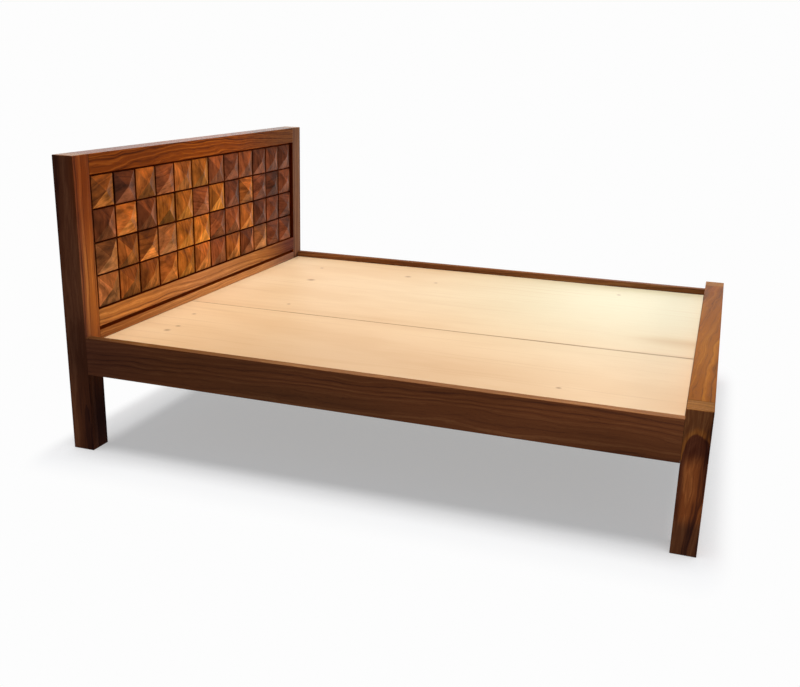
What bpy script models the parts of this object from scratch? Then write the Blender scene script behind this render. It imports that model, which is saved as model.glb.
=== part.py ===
"""Solid-wood platform bed with a headboard of faceted blocks.

Tenoned rails join two head posts and two foot posts. Side rails run between the
two ends on stub tenons and steel corner brackets. Slats lie on ledgers and a
centre beam, and two loose plywood boards lie on the slats. Metres, +Z up, +Y
towards the head, origin on the floor under the middle of the bed.
"""
import math
from collections import namedtuple

import bmesh
import bpy
from mathutils import Matrix, Vector

# Whole bed
BED_WIDTH = 1.750
CLEAR_LENGTH = 1.989
FIT_GAP = 0.0003
EDGE_ROUND = 0.002
EDGE_SEGMENTS = 2

# Side rails, from the floor up
RAIL_CLEARANCE = 0.284
SIDE_RAIL_HEIGHT = 0.134
SIDE_RAIL_THICKNESS = 0.032

# Headboard: posts, and what stacks up above the side rails
HEAD_POST_WIDTH = 0.084
HEAD_POST_DEPTH = 0.081
CROSS_RAIL_RISE = 0.0075
CROSS_RAIL_THICKNESS = 0.050
SHADOW_GAP = 0.0105
PANEL_RAIL_HEIGHT = 0.063
PANEL_RAIL_DEPTH = 0.050
PANEL_RAIL_LIP_ROUND = 0.008
LIP_SEGMENTS = 5
PANEL_HEIGHT = 0.468
TOP_RAIL_HEIGHT = 0.069
BACK_PANEL_THICKNESS = 0.012
BACK_PANEL_TONGUE = 0.010

# Faceted blocks on the back panel
BLOCK_COLUMNS = 12
BLOCK_ROWS = 4
BLOCK_GROOVE_WIDTH = 0.009
BLOCK_GROOVE_HEIGHT = 0.006
BLOCK_SIDE_MARGIN = 0.018
BLOCK_TOP_MARGIN = 0.008
BLOCK_BOTTOM_MARGIN = 0.003
BLOCK_RECESS = 0.010
BLOCK_WALL = 0.014
BLOCK_PEAK = 0.016
BLOCK_GLUE_DEPTH = 0.002

# Footboard
FOOT_POST_WIDTH = 0.084
FOOT_POST_DEPTH = 0.076
FOOT_RISE = 0.032
FOOT_RAIL_HEIGHT = 0.062
FOOT_PLANK_THICKNESS = 0.022

# Tenons
TENON_LENGTH = 0.040
TENON_THICKNESS = 0.018
TENON_SHOULDER = 0.012
STUB_LENGTH = 0.014
STUB_THICKNESS = 0.010
STUB_SHOULDER = 0.018

# Deck boards, slats and what carries them
DECK_DROP = 0.024
DECK_THICKNESS = 0.012
DECK_EDGE_GAP = 0.003
DECK_SEAM_X = -0.189
DECK_SEAM_GAP = 0.003
SLAT_COUNT = 7
SLAT_WIDTH = 0.075
SLAT_THICKNESS = 0.020
SLAT_END_GAP = 0.003
SIDE_LEDGER_THICKNESS = 0.030
SIDE_LEDGER_HEIGHT = 0.036
SIDE_LEDGER_END_GAP = 0.020
END_LEDGER_DEPTH = 0.040
BEAM_WIDTH = 0.045
BEAM_HEIGHT = 0.060
SADDLE_BASE = 0.015
SADDLE_CHEEK = 0.025
SADDLE_DEPTH = 0.030
SADDLE_GRIP = 0.038
CENTRE_LEG_WIDTH = 0.050
CENTRE_LEG_STUB = 0.020
CENTRE_LEG_STUB_WIDTH = 0.024

# Steel corner brackets, each held by one coach screw a leg
BRACKET_LEG = 0.054
BRACKET_HEIGHT = 0.060
BRACKET_THICKNESS = 0.004
BRACKET_LIFT = 0.008
BRACKET_HOLE_OFFSET = 0.032
RAIL_SCREW_COVER = 0.006
POST_SCREW_LENGTH = 0.045
SCREW_RADIUS = 0.004
SCREW_TIP = 0.005
SCREW_SIDES = 12
SCREW_HEAD_FLATS = 0.013
SCREW_HEAD_HEIGHT = 0.0055

# Lines that the pieces share
HALF_WIDTH = BED_WIDTH / 2
OVERALL_LENGTH = FOOT_POST_DEPTH + CLEAR_LENGTH + HEAD_POST_DEPTH
FOOT_FACE = FOOT_POST_DEPTH - OVERALL_LENGTH / 2
HEAD_FACE = OVERALL_LENGTH / 2 - HEAD_POST_DEPTH
RAIL_TOP = RAIL_CLEARANCE + SIDE_RAIL_HEIGHT
RAIL_INNER = HALF_WIDTH - SIDE_RAIL_THICKNESS
HEAD_OPENING = HALF_WIDTH - HEAD_POST_WIDTH
FOOT_OPENING = HALF_WIDTH - FOOT_POST_WIDTH
FOOT_TOP = RAIL_TOP + FOOT_RISE
FOOT_RAIL_BOTTOM = FOOT_TOP - FOOT_RAIL_HEIGHT
CROSS_RAIL_TOP = RAIL_TOP + CROSS_RAIL_RISE
PANEL_RAIL_BOTTOM = CROSS_RAIL_TOP + SHADOW_GAP
PANEL_BOTTOM = PANEL_RAIL_BOTTOM + PANEL_RAIL_HEIGHT
PANEL_TOP = PANEL_BOTTOM + PANEL_HEIGHT
HEAD_TOP = PANEL_TOP + TOP_RAIL_HEIGHT
BLOCK_EDGE_Y = HEAD_FACE + BLOCK_RECESS
PANEL_FRONT = BLOCK_EDGE_Y + BLOCK_WALL
DECK_TOP = RAIL_TOP - DECK_DROP
DECK_BOTTOM = DECK_TOP - DECK_THICKNESS
SLAT_TOP = DECK_BOTTOM - FIT_GAP
SLAT_BOTTOM = SLAT_TOP - SLAT_THICKNESS
BEARER_TOP = SLAT_BOTTOM - FIT_GAP
BEAM_BOTTOM = BEARER_TOP - BEAM_HEIGHT
BRACKET_BOTTOM = RAIL_CLEARANCE + BRACKET_LIFT
RAIL_SCREW_LENGTH = BRACKET_THICKNESS + SIDE_RAIL_THICKNESS - RAIL_SCREW_COVER

SIDES = (("left", -1), ("right", 1))
ENDS = (("foot", -1, FOOT_FACE, FOOT_OPENING), ("head", 1, HEAD_FACE, HEAD_OPENING))

WOOD = ("sheesham", (0.30, 0.125, 0.045), 0.35, 0.0)
BLOCK_WOOD = ("sheesham_blocks", (0.34, 0.135, 0.045), 0.30, 0.0)
PLYWOOD = ("plywood", (0.72, 0.56, 0.38), 0.60, 0.0)
SLAT_WOOD = ("slat_wood", (0.55, 0.38, 0.22), 0.65, 0.0)
STEEL = ("zinc_steel", (0.60, 0.60, 0.58), 0.40, 1.0)

Box = namedtuple("Box", "low high")


def box(x_limits, y_limits, z_limits):
    """Box between two limits on each axis, given in either order."""
    limits = [sorted(pair) for pair in (x_limits, y_limits, z_limits)]
    return Box(Vector([pair[0] for pair in limits]), Vector([pair[1] for pair in limits]))


def grown(solid, gap):
    """The same box with a gap added on every side."""
    step = Vector((gap, gap, gap))
    return Box(solid.low - step, solid.high + step)


def middle(solid):
    return (solid.low + solid.high) / 2


def fresh_scene():
    """Empty the scene, then add one collection for the parts and one for the cutters."""
    for item in list(bpy.data.objects):
        bpy.data.objects.remove(item, do_unlink=True)
    collections = []
    for name in ("wooden_bed", "bed_cutters"):
        collection = bpy.data.collections.new(name)
        bpy.context.scene.collection.children.link(collection)
        collections.append(collection)
    return collections


parts, cutters = fresh_scene()
bed_origin = bpy.data.objects.new("bed_origin", None)
parts.objects.link(bed_origin)


def finish_material(finish):
    """Principled material for one finish, made once."""
    name, colour, roughness, metallic = finish
    material = bpy.data.materials.get(name)
    if material is None:
        material = bpy.data.materials.new(name)
        material.use_nodes = True
        shader = material.node_tree.nodes["Principled BSDF"]
        shader.inputs["Base Color"].default_value = (*colour, 1.0)
        shader.inputs["Roughness"].default_value = roughness
        shader.inputs["Metallic"].default_value = metallic
        material.diffuse_color = (*colour, 1.0)
    return material


def add_object(name, bm, place, collection, finish=None):
    """Turn a bmesh into an object at a place, in the parts or the cutters."""
    mesh = bpy.data.meshes.new(name)
    bm.to_mesh(mesh)
    bm.free()
    piece = bpy.data.objects.new(name, mesh)
    piece.location = place
    collection.objects.link(piece)
    if finish is None:
        piece.hide_render = True
        piece.display_type = "WIRE"
    else:
        mesh.materials.append(finish_material(finish))
        piece.parent = bed_origin
    return piece


def round_edges(bm, edges, radius, segments):
    bmesh.ops.bevel(bm, geom=edges, offset=radius, offset_type="OFFSET", segments=segments,
                    profile=0.5, affect="EDGES", clamp_overlap=True, material=-1)


def box_bmesh(solid, round_along="", lip_round=0):
    """Cuboid about its own centre, with the edges along the named axes eased.

    A lip round is the larger radius of the lower edge along X that faces the foot.
    """
    bm = bmesh.new()
    bmesh.ops.create_cube(bm, size=1.0)
    bmesh.ops.scale(bm, vec=solid.high - solid.low, verts=bm.verts)
    eased, lip = [], []
    for edge in bm.edges:
        start, end = (vertex.co for vertex in edge.verts)
        axis = "xyz"[max(range(3), key=lambda index: abs(end[index] - start[index]))]
        if lip_round and axis == "x" and start.y < 0 and start.z < 0:
            lip.append(edge)
        elif axis in round_along:
            eased.append(edge)
    if lip:
        round_edges(bm, lip, lip_round, LIP_SEGMENTS)
    if eased:
        round_edges(bm, eased, EDGE_ROUND, EDGE_SEGMENTS)
    return bm


def add_block(name, solid, finish, round_along="", lip_round=0):
    return add_object(name, box_bmesh(solid, round_along, lip_round), middle(solid), parts, finish)


def add_cutter(name, solid):
    return add_object(name, box_bmesh(solid), middle(solid), cutters)


def boolean(piece, tool, operation):
    modifier = piece.modifiers.new(operation.lower() + "_" + tool.name, "BOOLEAN")
    modifier.operation = operation
    modifier.solver = "EXACT"
    modifier.object = tool


def through_tenon(body, axis, length, thickness, low_shoulder, high_shoulder):
    """Box in the middle of a rail's thickness that sticks out of both ends of the rail.

    The axis is the rail's run, 0 along X or 1 along Y. The shoulders are what is left below and above.
    """
    low, high = body.low.copy(), body.high.copy()
    across = 1 - axis
    low[axis] -= length
    high[axis] += length
    low[across] = middle(body)[across] - thickness / 2
    high[across] = middle(body)[across] + thickness / 2
    low.z += low_shoulder
    high.z -= high_shoulder
    return Box(low, high)


def add_tenoned(name, body, tenon, finish, round_along, lip_round=0):
    """Piece with its tenons, and the cutter for the mortises that take them."""
    piece = add_block(name, body, finish, round_along, lip_round)
    boolean(piece, add_cutter(name + "_tenon", tenon), "UNION")
    return piece, add_cutter(name + "_mortise", grown(tenon, FIT_GAP))


def turned_bmesh(profile):
    """Closed solid turned about Z from (radius, height) points that start and end on the axis."""
    bm = bmesh.new()
    points = [bm.verts.new((radius, 0.0, height)) for radius, height in profile]
    edges = [bm.edges.new(pair) for pair in zip(points, points[1:])]
    bmesh.ops.spin(bm, geom=points + edges, cent=(0, 0, 0), axis=(0, 0, 1), angle=math.tau,
                   steps=SCREW_SIDES, use_merge=True)
    bmesh.ops.remove_doubles(bm, verts=bm.verts, dist=1e-6)
    bmesh.ops.recalc_face_normals(bm, faces=bm.faces)
    return bm


def add_coach_screw(name, seat, axis, length):
    """Hex-headed wood screw with its head on the seat, and the cutter for its hole.

    The axis points out of the wood, from the tip to the head.
    """
    turn = axis.to_track_quat("Z", "Y").to_euler()
    shank_top = SCREW_HEAD_HEIGHT / 2
    shank = [(0, shank_top), (SCREW_RADIUS, shank_top), (SCREW_RADIUS, SCREW_TIP - length), (0, -length)]
    hole_radius = SCREW_RADIUS + FIT_GAP
    hole = [(0, shank_top), (hole_radius, shank_top), (hole_radius, SCREW_TIP - length),
            (0, -length - FIT_GAP)]
    head_radius = SCREW_HEAD_FLATS / 2 / math.cos(math.pi / 6)
    bm = bmesh.new()
    bmesh.ops.create_cone(bm, segments=6, radius1=head_radius, radius2=head_radius, depth=SCREW_HEAD_HEIGHT,
                          cap_ends=True, matrix=Matrix.Translation((0, 0, SCREW_HEAD_HEIGHT / 2)))
    screw = add_object(name, bm, seat, parts, STEEL)
    shank_tool = add_object(name + "_shank", turned_bmesh(shank), seat, cutters)
    hole_tool = add_object(name + "_hole", turned_bmesh(hole), seat, cutters)
    for piece in (screw, shank_tool, hole_tool):
        piece.rotation_euler = turn
    boolean(screw, shank_tool, "UNION")
    return hole_tool


def add_posts():
    """Two head posts and two foot posts, each from the floor to its own top."""
    posts = {}
    for side_name, side in SIDES:
        head = box((side * HALF_WIDTH, side * HEAD_OPENING),
                   (HEAD_FACE, HEAD_FACE + HEAD_POST_DEPTH), (0, HEAD_TOP))
        foot = box((side * HALF_WIDTH, side * FOOT_OPENING),
                   (FOOT_FACE - FOOT_POST_DEPTH, FOOT_FACE), (0, FOOT_TOP))
        posts["head", side] = add_block("head_post_" + side_name, head, WOOD, "xyz")
        posts["foot", side] = add_block("foot_post_" + side_name, foot, WOOD, "xyz")
    return posts


def add_headboard(posts):
    """Rails tenoned between the head posts, and the panel of blocks let into grooves in them."""
    span = (FIT_GAP - HEAD_OPENING, HEAD_OPENING - FIT_GAP)
    top_body = box(span, (HEAD_FACE, HEAD_FACE + HEAD_POST_DEPTH), (PANEL_TOP, HEAD_TOP))
    top_tenon = through_tenon(top_body, 0, TENON_LENGTH, TENON_THICKNESS,
                              BACK_PANEL_TONGUE + TENON_SHOULDER, TENON_SHOULDER)
    top_rail, top_mortise = add_tenoned("head_top_rail", top_body, top_tenon, WOOD, "x")

    low_body = box(span, (HEAD_FACE, HEAD_FACE + PANEL_RAIL_DEPTH), (PANEL_RAIL_BOTTOM, PANEL_BOTTOM))
    low_tenon = through_tenon(low_body, 0, TENON_LENGTH, TENON_THICKNESS,
                              TENON_SHOULDER, BACK_PANEL_TONGUE + TENON_SHOULDER)
    panel_rail, panel_mortise = add_tenoned("head_panel_rail", low_body, low_tenon, WOOD, "x",
                                            PANEL_RAIL_LIP_ROUND)

    cross_body = box(span, (HEAD_FACE, HEAD_FACE + CROSS_RAIL_THICKNESS), (RAIL_CLEARANCE, CROSS_RAIL_TOP))
    cross_tenon = through_tenon(cross_body, 0, STUB_LENGTH, STUB_THICKNESS, STUB_SHOULDER, STUB_SHOULDER)
    cross_mortise = add_tenoned("head_cross_rail", cross_body, cross_tenon, WOOD, "x")[1]

    reach = HEAD_OPENING + BACK_PANEL_TONGUE
    panel = box((-reach, reach), (PANEL_FRONT, PANEL_FRONT + BACK_PANEL_THICKNESS),
                (PANEL_BOTTOM - BACK_PANEL_TONGUE, PANEL_TOP + BACK_PANEL_TONGUE))
    boolean(add_block("head_block_panel", panel, BLOCK_WOOD), block_grid(), "UNION")
    groove = add_cutter("head_block_panel_groove", grown(panel, FIT_GAP))
    boolean(top_rail, groove, "DIFFERENCE")
    boolean(panel_rail, groove, "DIFFERENCE")
    for side_name, side in SIDES:
        for mortise in (top_mortise, panel_mortise, cross_mortise, groove):
            boolean(posts["head", side], mortise, "DIFFERENCE")


def block_grid():
    """All the blocks: short boxes glued to the panel, whose fronts rise to a four-sided peak."""
    grid_width = 2 * (HEAD_OPENING - BLOCK_SIDE_MARGIN)
    grid_height = PANEL_HEIGHT - BLOCK_TOP_MARGIN - BLOCK_BOTTOM_MARGIN
    width = (grid_width - (BLOCK_COLUMNS - 1) * BLOCK_GROOVE_WIDTH) / BLOCK_COLUMNS
    height = (grid_height - (BLOCK_ROWS - 1) * BLOCK_GROOVE_HEIGHT) / BLOCK_ROWS
    depth = BLOCK_WALL + BLOCK_GLUE_DEPTH
    bm = bmesh.new()
    for row in range(BLOCK_ROWS):
        for column in range(BLOCK_COLUMNS):
            block = bmesh.ops.create_cube(bm, size=1.0)["verts"]
            bmesh.ops.scale(bm, vec=(width, depth, height), verts=block)
            shift = ((column - (BLOCK_COLUMNS - 1) / 2) * (width + BLOCK_GROOVE_WIDTH), 0,
                     ((BLOCK_ROWS - 1) / 2 - row) * (height + BLOCK_GROOVE_HEIGHT))
            bmesh.ops.translate(bm, vec=shift, verts=block)
    bm.normal_update()
    fronts = [face for face in bm.faces if face.normal.y < -0.5]
    bmesh.ops.poke(bm, faces=fronts, offset=BLOCK_PEAK)
    place = (0, BLOCK_EDGE_Y + depth / 2, PANEL_BOTTOM + BLOCK_BOTTOM_MARGIN + grid_height / 2)
    return add_object("head_blocks", bm, place, cutters)


def add_footboard(posts):
    """Thick foot rail flush with the posts, and the plank below it."""
    span = (FIT_GAP - FOOT_OPENING, FOOT_OPENING - FIT_GAP)
    rail_body = box(span, (FOOT_FACE - FOOT_POST_DEPTH, FOOT_FACE), (FOOT_RAIL_BOTTOM, FOOT_TOP))
    rail_tenon = through_tenon(rail_body, 0, TENON_LENGTH, TENON_THICKNESS, TENON_SHOULDER, TENON_SHOULDER)
    rail_mortise = add_tenoned("foot_rail", rail_body, rail_tenon, WOOD, "x")[1]

    plank_body = box(span, (FOOT_FACE - FOOT_PLANK_THICKNESS, FOOT_FACE),
                     (RAIL_CLEARANCE, FOOT_RAIL_BOTTOM - FIT_GAP))
    plank_tenon = through_tenon(plank_body, 0, STUB_LENGTH, STUB_THICKNESS, STUB_SHOULDER, STUB_SHOULDER)
    plank_mortise = add_tenoned("foot_plank", plank_body, plank_tenon, WOOD, "x")[1]
    for side_name, side in SIDES:
        boolean(posts["foot", side], rail_mortise, "DIFFERENCE")
        boolean(posts["foot", side], plank_mortise, "DIFFERENCE")


def add_side_rails(posts):
    """Side rails, flush with the outside of the posts, on stub tenons."""
    rails = {}
    for side_name, side in SIDES:
        body = box((side * HALF_WIDTH, side * RAIL_INNER), (FOOT_FACE + FIT_GAP, HEAD_FACE - FIT_GAP),
                   (RAIL_CLEARANCE, RAIL_TOP))
        tenon = through_tenon(body, 1, STUB_LENGTH, STUB_THICKNESS, STUB_SHOULDER, STUB_SHOULDER)
        rails[side], mortise = add_tenoned("side_rail_" + side_name, body, tenon, WOOD, "y")
        boolean(posts["head", side], mortise, "DIFFERENCE")
        boolean(posts["foot", side], mortise, "DIFFERENCE")
    return rails


def add_brackets(posts, rails):
    """Angle bracket inside each corner, screwed to the side rail and to the post."""
    face = RAIL_INNER - FIT_GAP
    heights = (BRACKET_BOTTOM, BRACKET_BOTTOM + BRACKET_HEIGHT)
    screw_height = BRACKET_BOTTOM + BRACKET_HEIGHT / 2
    head_seat = BRACKET_THICKNESS + FIT_GAP
    for end_name, end, post_face, opening in ENDS:
        for side_name, side in SIDES:
            corner = f"{end_name}_{side_name}"
            corner_y = post_face - end * FIT_GAP
            on_rail = box((side * face, side * (face - BRACKET_THICKNESS)),
                          (corner_y, corner_y - end * BRACKET_LEG), heights)
            on_post = box((side * face, side * (face - BRACKET_LEG)),
                          (corner_y, corner_y - end * BRACKET_THICKNESS), heights)
            bracket = add_block("rail_bracket_" + corner, on_rail, STEEL)
            boolean(bracket, add_cutter("bracket_post_leg_" + corner, on_post), "UNION")
            rail_seat = Vector((side * (face - head_seat), corner_y - end * BRACKET_HOLE_OFFSET,
                                screw_height))
            rail_hole = add_coach_screw("rail_screw_" + corner, rail_seat, Vector((-side, 0, 0)),
                                        RAIL_SCREW_LENGTH)
            # The post screw passes midway between the side rail and the stub tenon of the cross rail.
            post_x = (RAIL_INNER + opening + STUB_LENGTH) / 2
            post_seat = Vector((side * post_x, corner_y - end * head_seat, screw_height))
            post_hole = add_coach_screw("post_screw_" + corner, post_seat, Vector((0, -end, 0)),
                                        POST_SCREW_LENGTH)
            for piece in (bracket, rails[side]):
                boolean(piece, rail_hole, "DIFFERENCE")
            for piece in (bracket, posts[end_name, side]):
                boolean(piece, post_hole, "DIFFERENCE")


def add_slats():
    """Ledgers along the side rails, and slats across them."""
    face = RAIL_INNER - FIT_GAP
    inset = BRACKET_LEG + SIDE_LEDGER_END_GAP
    for side_name, side in SIDES:
        solid = box((side * face, side * (face - SIDE_LEDGER_THICKNESS)),
                    (FOOT_FACE + inset, HEAD_FACE - inset), (BEARER_TOP - SIDE_LEDGER_HEIGHT, BEARER_TOP))
        add_block("side_ledger_" + side_name, solid, SLAT_WOOD, "y")
    half = RAIL_INNER - SLAT_END_GAP
    pitch = CLEAR_LENGTH / (SLAT_COUNT + 1)
    for index in range(SLAT_COUNT):
        centre_y = FOOT_FACE + (index + 1) * pitch
        solid = box((-half, half), (centre_y - SLAT_WIDTH / 2, centre_y + SLAT_WIDTH / 2),
                    (SLAT_BOTTOM, SLAT_TOP))
        add_block(f"slat_{index + 1}", solid, SLAT_WOOD, "x")


def add_centre_support():
    """Beam along the middle, a saddle at each of its ends, end ledgers and the centre leg."""
    beam_half = BEAM_WIDTH / 2
    beam_box = box((-beam_half, beam_half), (FOOT_FACE + FIT_GAP, HEAD_FACE - FIT_GAP),
                   (BEAM_BOTTOM, BEARER_TOP))
    beam = add_block("centre_beam", beam_box, SLAT_WOOD, "y")
    slot = add_cutter("beam_slot", grown(beam_box, FIT_GAP))
    saddle_half = beam_half + FIT_GAP + SADDLE_CHEEK
    saddle_bottom = BEAM_BOTTOM - FIT_GAP - SADDLE_BASE
    for end_name, end, post_face, opening in ENDS:
        near = post_face - end * FIT_GAP
        saddle = box((-saddle_half, saddle_half), (near, near - end * SADDLE_DEPTH),
                     (saddle_bottom, BEAM_BOTTOM + SADDLE_GRIP))
        boolean(add_block("beam_saddle_" + end_name, saddle, SLAT_WOOD), slot, "DIFFERENCE")
        ledger_half = opening - FIT_GAP
        ledger = box((-ledger_half, ledger_half), (near, near - end * END_LEDGER_DEPTH),
                     (SLAT_BOTTOM, SLAT_TOP))
        add_block("end_ledger_" + end_name, ledger, SLAT_WOOD, "x")

    leg_half = CENTRE_LEG_WIDTH / 2
    stub_half = CENTRE_LEG_STUB_WIDTH / 2
    leg_box = box((-leg_half, leg_half), (-leg_half, leg_half), (0, BEAM_BOTTOM - FIT_GAP))
    stub_box = box((-stub_half, stub_half), (-stub_half, stub_half),
                   (BEAM_BOTTOM - CENTRE_LEG_STUB, BEAM_BOTTOM + CENTRE_LEG_STUB))
    socket = add_tenoned("centre_leg", leg_box, stub_box, SLAT_WOOD, "z")[1]
    boolean(beam, socket, "DIFFERENCE")


def add_deck():
    """Two loose boards that meet at a seam along the bed and lift straight out."""
    edge = RAIL_INNER - DECK_EDGE_GAP
    seams = {"left": DECK_SEAM_X - DECK_SEAM_GAP / 2, "right": DECK_SEAM_X + DECK_SEAM_GAP / 2}
    for side_name, side in SIDES:
        board = box((side * edge, seams[side_name]), (FOOT_FACE + DECK_EDGE_GAP, HEAD_FACE - DECK_EDGE_GAP),
                    (DECK_BOTTOM, DECK_TOP))
        add_block("deck_board_" + side_name, board, PLYWOOD)


def build_bed():
    posts = add_posts()
    add_headboard(posts)
    add_footboard(posts)
    rails = add_side_rails(posts)
    add_brackets(posts, rails)
    add_slats()
    add_centre_support()
    add_deck()


build_bed()
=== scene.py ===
"""Looks of the sheesham bed: wood, plywood and steel finishes, the faceted headboard and the studio."""

import math
import random
from collections import namedtuple

import bmesh
import bpy
from mathutils import Euler, Matrix, Vector


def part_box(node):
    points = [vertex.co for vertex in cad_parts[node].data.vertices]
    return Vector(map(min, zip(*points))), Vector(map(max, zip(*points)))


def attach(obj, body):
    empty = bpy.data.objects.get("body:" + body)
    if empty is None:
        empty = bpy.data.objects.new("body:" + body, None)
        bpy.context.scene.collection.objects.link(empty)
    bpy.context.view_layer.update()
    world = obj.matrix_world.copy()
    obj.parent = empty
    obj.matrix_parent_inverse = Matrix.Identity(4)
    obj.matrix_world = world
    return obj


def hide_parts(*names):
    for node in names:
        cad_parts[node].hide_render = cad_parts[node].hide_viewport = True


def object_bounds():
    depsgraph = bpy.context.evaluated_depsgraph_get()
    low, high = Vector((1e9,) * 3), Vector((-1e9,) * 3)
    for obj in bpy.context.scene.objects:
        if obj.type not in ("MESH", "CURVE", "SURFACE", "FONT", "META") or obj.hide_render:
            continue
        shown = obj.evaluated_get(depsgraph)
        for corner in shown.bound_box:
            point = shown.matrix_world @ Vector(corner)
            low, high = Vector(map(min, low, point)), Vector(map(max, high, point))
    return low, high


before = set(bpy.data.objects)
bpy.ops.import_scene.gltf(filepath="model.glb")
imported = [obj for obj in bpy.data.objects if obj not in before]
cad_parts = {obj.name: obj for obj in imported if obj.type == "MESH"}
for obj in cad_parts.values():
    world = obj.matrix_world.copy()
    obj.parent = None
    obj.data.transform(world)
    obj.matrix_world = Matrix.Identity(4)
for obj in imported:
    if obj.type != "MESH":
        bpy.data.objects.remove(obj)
cad_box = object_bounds()

# Camera, fitted to the photograph's edges
IMAGE_WIDTH_PIXELS = 800
CAMERA_FOCAL_PIXELS = 940.06
CAMERA_SENSOR_MM = 36.0
CAMERA_PLACE = (-3.4635, -1.0260, 1.3523)
CAMERA_YAW = math.radians(-71.325)
CAMERA_PITCH_DOWN = math.radians(16.618)
CAMERA_ROLL = math.radians(1.475)

# Studio
BACKDROP_WHITE = (0.982, 0.982, 0.982, 1.0)
AMBIENT_COLOUR = (0.85, 0.95, 1.12, 1.0)
AMBIENT_STRENGTH = 0.13
FLOOR_HALF_SIZE = 30.0
FLOOR_SHADE = 0.40
FLOOR_FADE_START = 0.08
FLOOR_FADE_END = 0.26
FLOOR_END_SHARPNESS = 2.2
FLOOR_SEEN_ALBEDO = 1.0
FLOOR_BOUNCE_ALBEDO = 0.20
FLOOR_SUN_POWER = 2.5
FLOOR_SUN_ANGLE = math.radians(31)
WHITE_LIGHT = (1.0, 1.0, 1.0)
WARM_LIGHT = (1.0, 0.96, 0.90)
HEAD_FILL_SPREAD = math.radians(60)

# Headboard blocks, in metres; faces over the facet area are flat shaded, and each facet's tone is drawn
# about a mean with a spread, both as logarithms
BLOCK_COLUMNS = 12
BLOCK_ROWS = 4
BLOCK_GROOVE_WIDTH = 0.009
BLOCK_GROOVE_HEIGHT = 0.006
BLOCK_SIDE_MARGIN = 0.018
BLOCK_TOP_MARGIN = 0.008
BLOCK_BOTTOM_MARGIN = 0.003
BLOCK_RECESS = 0.010
BLOCK_WALL = 0.014
BLOCK_PEAK = 0.016
BLOCK_RIM_EASE = 0.0012
BLOCK_RIDGE_EASE = 0.0014
BLOCK_RIM_ANGLE = math.radians(40)
BLOCK_FACET_AREA = 0.0004
BLOCK_FACET_MEAN = -0.08
BLOCK_FACET_SPREAD = 0.31
BLOCK_SEED = 164
BLOCK_SET_BACK_SPREAD = 0.0008
BLOCK_LEAN_SPREAD = 0.004
BLOCK_PEAK_LOSS = 0.0015
BLOCK_PEAK_GAIN = 0.0010

# How a block is cut from its plank: the share with the grain lying, the most that it is turned about each
# axis, how far the heart is and the plank reaches, in metres, and the share by which its tone may differ
BLOCK_LYING_SHARE = 0.45
BLOCK_TURNS = (0.5, 0.25, 0.25)
BLOCK_HEART_NEAR = 0.09
BLOCK_HEART_FAR = 0.30
BLOCK_PLANK_REACH = 9.0
BLOCK_TONE_SPREAD = 0.15

# Panel behind the blocks, in metres
BACK_PANEL_THICKNESS = 0.012
BACK_PANEL_EASE = 0.0008

# Painted shade in the headboard's recesses: its soft edge, in metres, its tones round the blocks and
# in the gap under the panel rail, and its roughness; then end grain's tone and figure, and the roughness
# of the headboard's top edge, rubbed smooth by hands
RECESS_SOFTNESS = 0.002
RECESS_PAINTED_SHADE = (0.36, 0.17, 0.07)
RAIL_GAP_PAINTED_SHADE = (1.1, 0.7, 0.2)
RECESS_ROUGHNESS = 0.9
END_GRAIN_TONE = (1.22, 1.78, 1.9)
END_GRAIN_FIGURE = 0.55
TOP_EDGE_ROUGHNESS = 0.12

# Flame figure of the near foot post: where its arch springs, from the post's middle along Y and Z, half its
# width and the arch's height, in metres, the heights over the spring between which its dome darkens, the
# depths below it between which its foot does, and the tones of its heart, rim, pale arch and foot
FLAME_NODE = "foot_post_left"
FLAME_SPRING = Vector((0.0, -0.006, 0.045))
FLAME_HALF_WIDTH = 0.045
FLAME_HEIGHT = 0.110
FLAME_DOME_START = -0.01
FLAME_DOME_END = 0.055
FLAME_FOOT_START = 0.14
FLAME_FOOT_END = 0.19
FLAME_HEART = (2.45, 2.45, 3.3)
FLAME_RIM = (0.70, 0.66, 1.5)
FLAME_ARCH = (2.0, 2.3, 2.6)
FLAME_FOOT = (1.15, 1.4, 2.8)
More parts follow.
